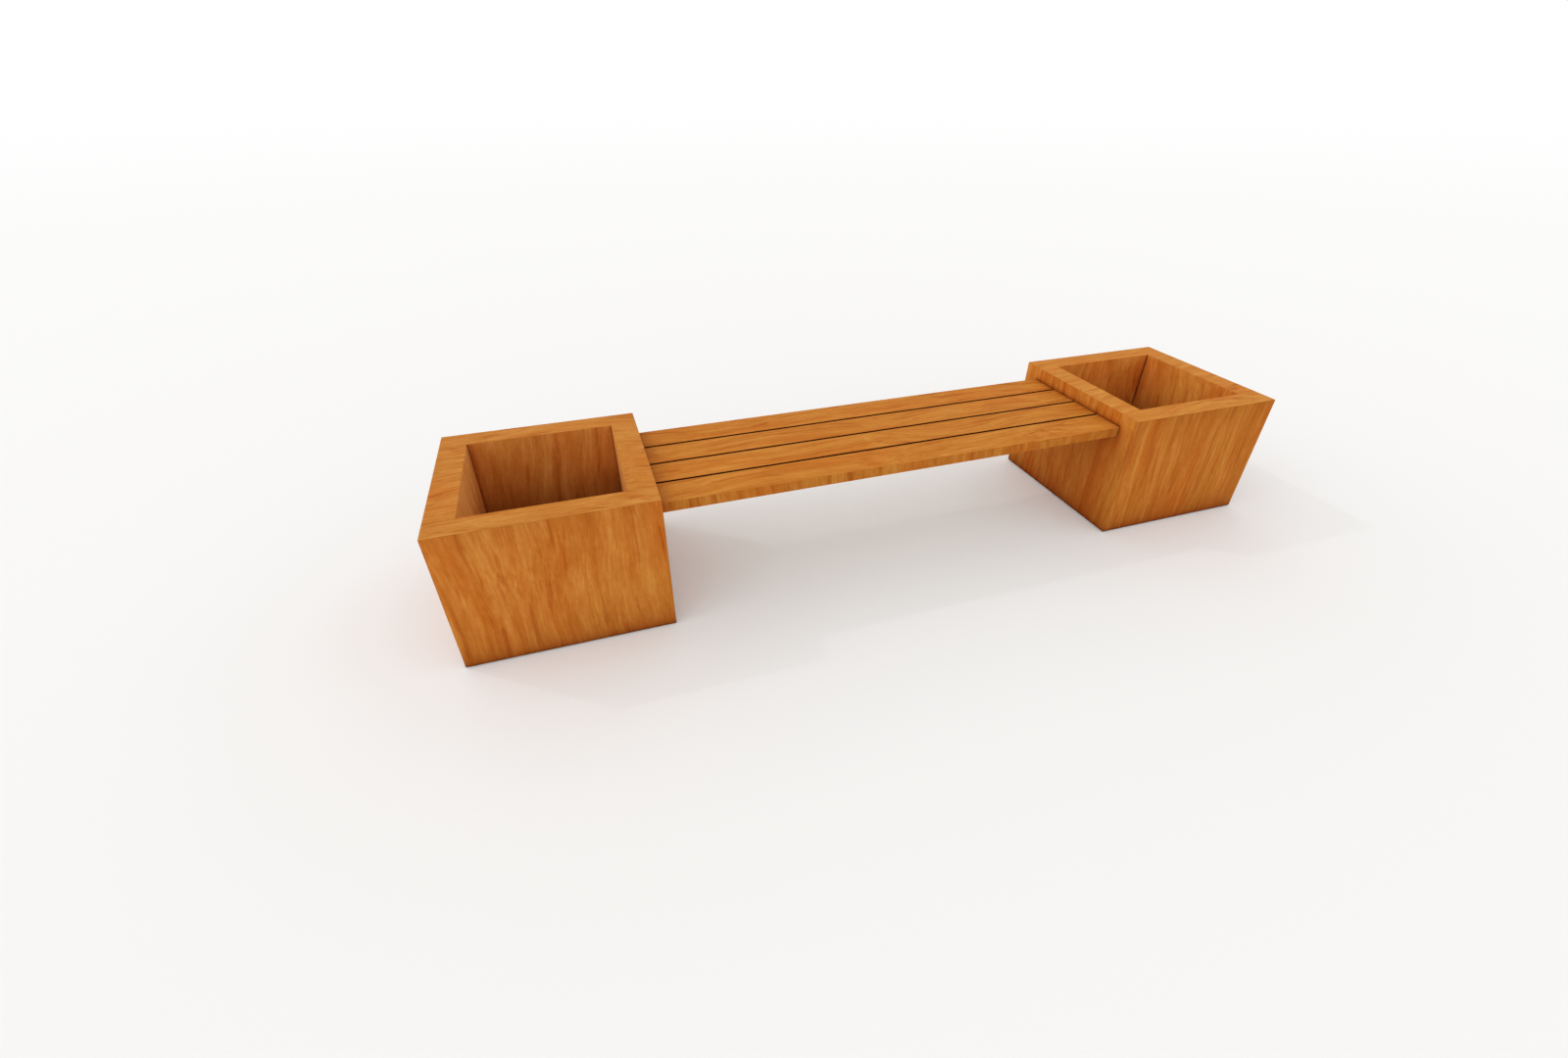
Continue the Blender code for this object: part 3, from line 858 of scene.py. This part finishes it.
# Battens: four softwood battens, 60 by 24 mm, across the underside of the seat, with their ends cut away so
# that nobody sees them. Two screws go up from each one into each board.

BATTEN_TAPER = 0.045
BATTEN_TIP = 0.004
BATTEN_ARRIS = 0.0015
BATTEN_SCREWS_Y = (0.036, 0.084, 0.143, 0.172)

for number in range(1, 5):
    low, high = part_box(f"seat_batten_{number}")
    batten = block(f"seat_batten_{number}_planed", low, high)
    for hand in (-1, 1):
        slope = Vector((0, hand * (high.z - low.z - BATTEN_TIP), -BATTEN_TAPER))
        saw(batten, (0, hand * high.y, high.z - BATTEN_TIP), slope)
    ease(batten, BATTEN_ARRIS, lambda at: True, steps=3)
    middle_x = (low.x + high.x) / 2
    places = []
    for y in BATTEN_SCREWS_Y:
        for hand in (-1, 1):
            turn = BATTEN_TURN_Y * y * hand + BATTEN_TURN * number
            places.append(driven(middle_x, y * hand, low.z + SCREW_SINK, turn, from_below=True))
    countersink(batten, places)
    sand(batten)
    batten.data.materials.append(timber["y"])
    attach(batten, "root")
    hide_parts(f"seat_batten_{number}")
    screws = set_of(screw_blank, f"seat_batten_{number}_screws", places)
    sand(screws)
    screws.data.materials.append(zinc)
    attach(screws, "root")


# Steel angles: a 60 by 45 mm rolled angle, 5 mm thick and dull zinc plated, screwed to the planter at each
# end of the seat. The end batten rests on its shelf and is held by three screws from below.

ANGLE_THICKNESS = 0.005
ANGLE_ROOT = 0.004
ANGLE_TOE = 0.0022
ANGLE_ARRIS = 0.0006
SHELF_SCREWS_Y = (-0.105, 0.0, 0.105)
SHELF_SCREW_OUT = 0.002
COACH_Y = (-0.080, 0.0, 0.080)
COACH_HOLE = 0.0045
COACH_HOLE_SIDES = 32
DRILL_REACH = 0.02


def long_edge(x, z):
    """Picks out the edge that runs along the angle at one place in its section."""
    return lambda at: abs(at.x - x) < HAIR and abs(at.z - z) < HAIR and abs(at.y) < ANGLE_THICKNESS


for side, toward in (("left", -1), ("right", 1)):
    low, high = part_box(f"{side}_seat_angle")
    foot = low.x if toward < 0 else high.x
    tip = high.x if toward < 0 else low.x
    root = foot - toward * ANGLE_THICKNESS
    shelf_under = high.z - ANGLE_THICKNESS
    angle = block(f"{side}_rolled_angle", (low.x, low.y, shelf_under), high)
    pick(angle, "FACE", lambda middle: True)
    bpy.ops.mesh.bisect(plane_co=(root, 0, 0), plane_no=(1, 0, 0), threshold=MEETING)
    put_down()
    pick(angle, "FACE", lambda at: at.z < shelf_under + HAIR and abs(at.x - foot) < ANGLE_THICKNESS)
    bpy.ops.mesh.extrude_region_move(TRANSFORM_OT_translate={"value": (0, 0, low.z - shelf_under)})
    put_down()
    ease(angle, ANGLE_ROOT, long_edge(root, shelf_under), steps=6)
    ease(angle, ANGLE_TOE, long_edge(root, low.z))
    ease(angle, ANGLE_TOE, long_edge(tip, shelf_under))
    coach_low, coach_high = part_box(f"{side}_coach_screw_1")
    coach_z = (coach_low.z + coach_high.z) / 2
    hole_blank = cylinder("hole_blank", COACH_HOLE, -DRILL_REACH, DRILL_REACH, COACH_HOLE_SIDES)
    lying = Matrix.Rotation(math.pi / 2, 4, "Y")
    holes = set_of(hole_blank, "holes", [Matrix.Translation((foot, y, coach_z)) @ lying for y in COACH_Y])
    combine(angle, holes)
    bpy.data.objects.remove(hole_blank)
    batten_low, batten_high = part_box("seat_batten_1" if side == "left" else "seat_batten_4")
    screw_x = (batten_low.x + batten_high.x) / 2 + toward * SHELF_SCREW_OUT
    places = []
    for y in SHELF_SCREWS_Y:
        turn = SHELF_TURN_Y * y + SHELF_TURN * toward
        places.append(driven(screw_x, y, shelf_under + SCREW_SINK, turn, from_below=True))
    countersink(angle, places)
    sand(angle)
    angle.data.materials.append(zinc)
    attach(angle, "root")
    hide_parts(f"{side}_seat_angle")
    screws = set_of(screw_blank, f"{side}_shelf_screws", places)
    sand(screws)
    screws.data.materials.append(zinc)
    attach(screws, "root")


# Coach screws: three at each end, 8 mm thick, with a 13 mm hexagon head forged on a flange. They go
# through the angle and the show panel into the rail inside the wall.

COACH_SIDES = 48
COACH_FLANGE = 0.009
COACH_FLANGE_THICKNESS = 0.0018
COACH_FLANGE_SLOPE = 0.0022
COACH_FLANGE_RISE = 0.0009
COACH_FLANGE_ARRIS = 0.0004
COACH_ACROSS = 0.013
COACH_HEAD = 0.0055
COACH_HEAD_ARRIS = 0.0003
COACH_SHANK = 0.004
COACH_POINT = 0.008
COACH_TIP_SHARE = 0.05
COACH_TURN_STEP = 17
COACH_TURN_SIDE = 23
CHAMFER_DROP = 0.006
CHAMFER_SLOPE = math.radians(28)
CHAMFER_SPREAD = CHAMFER_DROP / math.tan(CHAMFER_SLOPE)

coach_low, coach_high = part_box("left_coach_screw_1")
coach_length = coach_high.x - coach_low.x - COACH_FLANGE_THICKNESS - COACH_HEAD
flange = cylinder("coach_blank", COACH_FLANGE, 0.0, COACH_FLANGE_THICKNESS, COACH_SIDES)
pick(flange, "FACE", lambda at: at.z > COACH_FLANGE_THICKNESS - MEETING)
bpy.ops.mesh.inset(thickness=COACH_FLANGE_SLOPE)
bpy.ops.transform.translate(value=(0, 0, COACH_FLANGE_RISE))
put_down()
ease(flange, COACH_FLANGE_ARRIS, lambda at: abs(at.xy.length - COACH_FLANGE) < 10 * HAIR, steps=3)
pick(flange, "FACE", lambda at: at.z < MEETING)
bpy.ops.mesh.inset(thickness=COACH_FLANGE - COACH_SHANK)
bpy.ops.mesh.extrude_region_move(TRANSFORM_OT_translate={"value": (0, 0, COACH_POINT - coach_length)})
bpy.ops.mesh.extrude_region_move(TRANSFORM_OT_translate={"value": (0, 0, -COACH_POINT)})
bpy.ops.transform.resize(value=(COACH_TIP_SHARE, COACH_TIP_SHARE, 1))
put_down()

head_top = COACH_FLANGE_THICKNESS + COACH_HEAD
hexagon = cylinder("hexagon", COACH_ACROSS / math.sqrt(3), COACH_FLANGE_THICKNESS / 2, head_top, 6)
ease(hexagon, COACH_HEAD_ARRIS, lambda at: COACH_FLANGE_THICKNESS < at.z < head_top - HAIR, steps=2)
cone_top = COACH_ACROSS / 2 - COACH_HEAD_ARRIS
cone = cylinder("chamfer", cone_top, head_top - CHAMFER_DROP, head_top + HAIR, COACH_SIDES)
pick(cone, "FACE", lambda at: at.z < head_top - CHAMFER_DROP + MEETING)
share = (COACH_ACROSS / 2 + CHAMFER_SPREAD) / (COACH_ACROSS / 2)
bpy.ops.transform.resize(value=(share, share, 1))
put_down()
combine(hexagon, cone, "INTERSECT")
combine(flange, hexagon, "UNION")

for side, toward in (("left", -1), ("right", 1)):
    for number, y in enumerate(COACH_Y, 1):
        name = f"{side}_coach_screw_{number}"
        low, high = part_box(name)
        bearing = (high.x if toward < 0 else low.x) + toward * head_top
        outward = Matrix.Rotation(math.radians(-90 * toward), 4, "Y")
        turn = COACH_TURN_STEP * number + COACH_TURN_SIDE * toward
        twist = Matrix.Rotation(math.radians(turn), 4, "Z")
        place = Matrix.Translation((bearing, y, (low.z + high.z) / 2)) @ outward @ twist
        screw = set_of(flange, f"{name}_forged", [place])
        sand(screw)
        screw.data.materials.append(zinc)
        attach(screw, "root")
        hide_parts(name)
for blank in (flange, screw_blank, bit_blank):
    bpy.data.objects.remove(blank)


# Studio: a pale floor without end, under white light that is even up to 45 degrees above the horizon and
# dimmer overhead. A wide soft light comes from the left, and a weak hard one from the back left lays the
# faint crisp shadow. The camera stands in front of the left planter.

CAMERA_PLACE = (-0.9482, -1.8298, 1.3665)
CAMERA_TURN = (0.9761, 0.0, -0.3179)
CAMERA_LENS = 15.065
SENSOR_WIDTH = 36.0
FARTHEST_SEEN = 300.0
SKY_AT_HORIZON = 1.155
SKY_FALL = 0.86
SKY_STEEPNESS = 4.0
SIDE_LIGHT = 0.74
SIDE_LIGHT_WAY = (-0.743, 0.0, 0.669)
SIDE_LIGHT_NARROWNESS = 7.0
HARD_LIGHT = 0.055
HARD_LIGHT_WAY = Vector((0.88, -0.643, -1.0))
HARD_LIGHT_ANGLE = math.radians(0.3)
FLOOR_SIZE = 120.0
FLOOR_COLOUR = (0.912, 0.905, 0.889, 1.0)
FADE_LENGTH = 12.0
WHITE = (1.0, 1.0, 1.0, 1.0)

bpy.ops.object.select_all(action="DESELECT")
bpy.ops.object.camera_add(location=CAMERA_PLACE, rotation=CAMERA_TURN)
camera = bpy.context.active_object
camera.data.lens = CAMERA_LENS
camera.data.sensor_width = SENSOR_WIDTH
camera.data.clip_end = FARTHEST_SEEN
bpy.context.scene.camera = camera


def seen_white(finish):
    """1 for what the camera, a gloss or a glass sees, and 0 for what only lights the bench."""
    seen = Wire(finish).node("ShaderNodeLightPath", {}, {}, "Is Camera Ray")
    for ray in ("Is Glossy Ray", "Is Transmission Ray"):
        seen = seen.math("MAXIMUM", seen.node("ShaderNodeLightPath", {}, {}, ray))
    return seen


bpy.ops.mesh.primitive_plane_add(size=FLOOR_SIZE, location=(0, 0, 0))
floor = bpy.context.active_object
floor.name = "floor"
floor_finish = new_finish("floor")
away = read(floor_finish, "Object").vector("LENGTH", out="Value")
fade = 1 - (away * (-1 / FADE_LENGTH)).math("EXPONENT")
glow = fade.node("ShaderNodeEmission", {}, {"Color": WHITE, "Strength": 1.0})
matt = fade.node("ShaderNodeBsdfDiffuse", {}, {"Color": FLOOR_COLOUR})
both = fade.node("ShaderNodeMixShader", {}, {0: fade * seen_white(floor_finish), 1: matt, 2: glow})
output = floor_finish.node_tree.nodes["Material Output"]
floor_finish.node_tree.links.new(both.socket, output.inputs["Surface"])
floor.data.materials.append(floor_finish)

world = bpy.data.worlds.new("studio")
bpy.context.scene.world = world
world.use_nodes = True
way = read(world, "Generated")
side_light = way.vector("DOT_PRODUCT", SIDE_LIGHT_WAY, out="Value")
side_light = ((side_light - 1.0) * SIDE_LIGHT_NARROWNESS).math("EXPONENT") * SIDE_LIGHT
level = SKY_AT_HORIZON - way.part("Z").math("POWER", SKY_STEEPNESS) * SKY_FALL + side_light
light = way.node("ShaderNodeBackground", {}, {"Color": WHITE, "Strength": level})
white = way.node("ShaderNodeBackground", {}, {"Color": WHITE, "Strength": 1.0})
both = way.node("ShaderNodeMixShader", {}, {0: seen_white(world), 1: light, 2: white})
world.node_tree.links.new(both.socket, world.node_tree.nodes["World Output"].inputs["Surface"])

bpy.ops.object.light_add(type="SUN", location=-3 * HARD_LIGHT_WAY)
hard_light = bpy.context.active_object
hard_light.name = "back_left_light"
hard_light.rotation_euler = HARD_LIGHT_WAY.to_track_quat("-Z", "Y").to_euler()
hard_light.data.energy = HARD_LIGHT * math.pi
hard_light.data.angle = HARD_LIGHT_ANGLE

bpy.context.scene.view_settings.view_transform = "Standard"
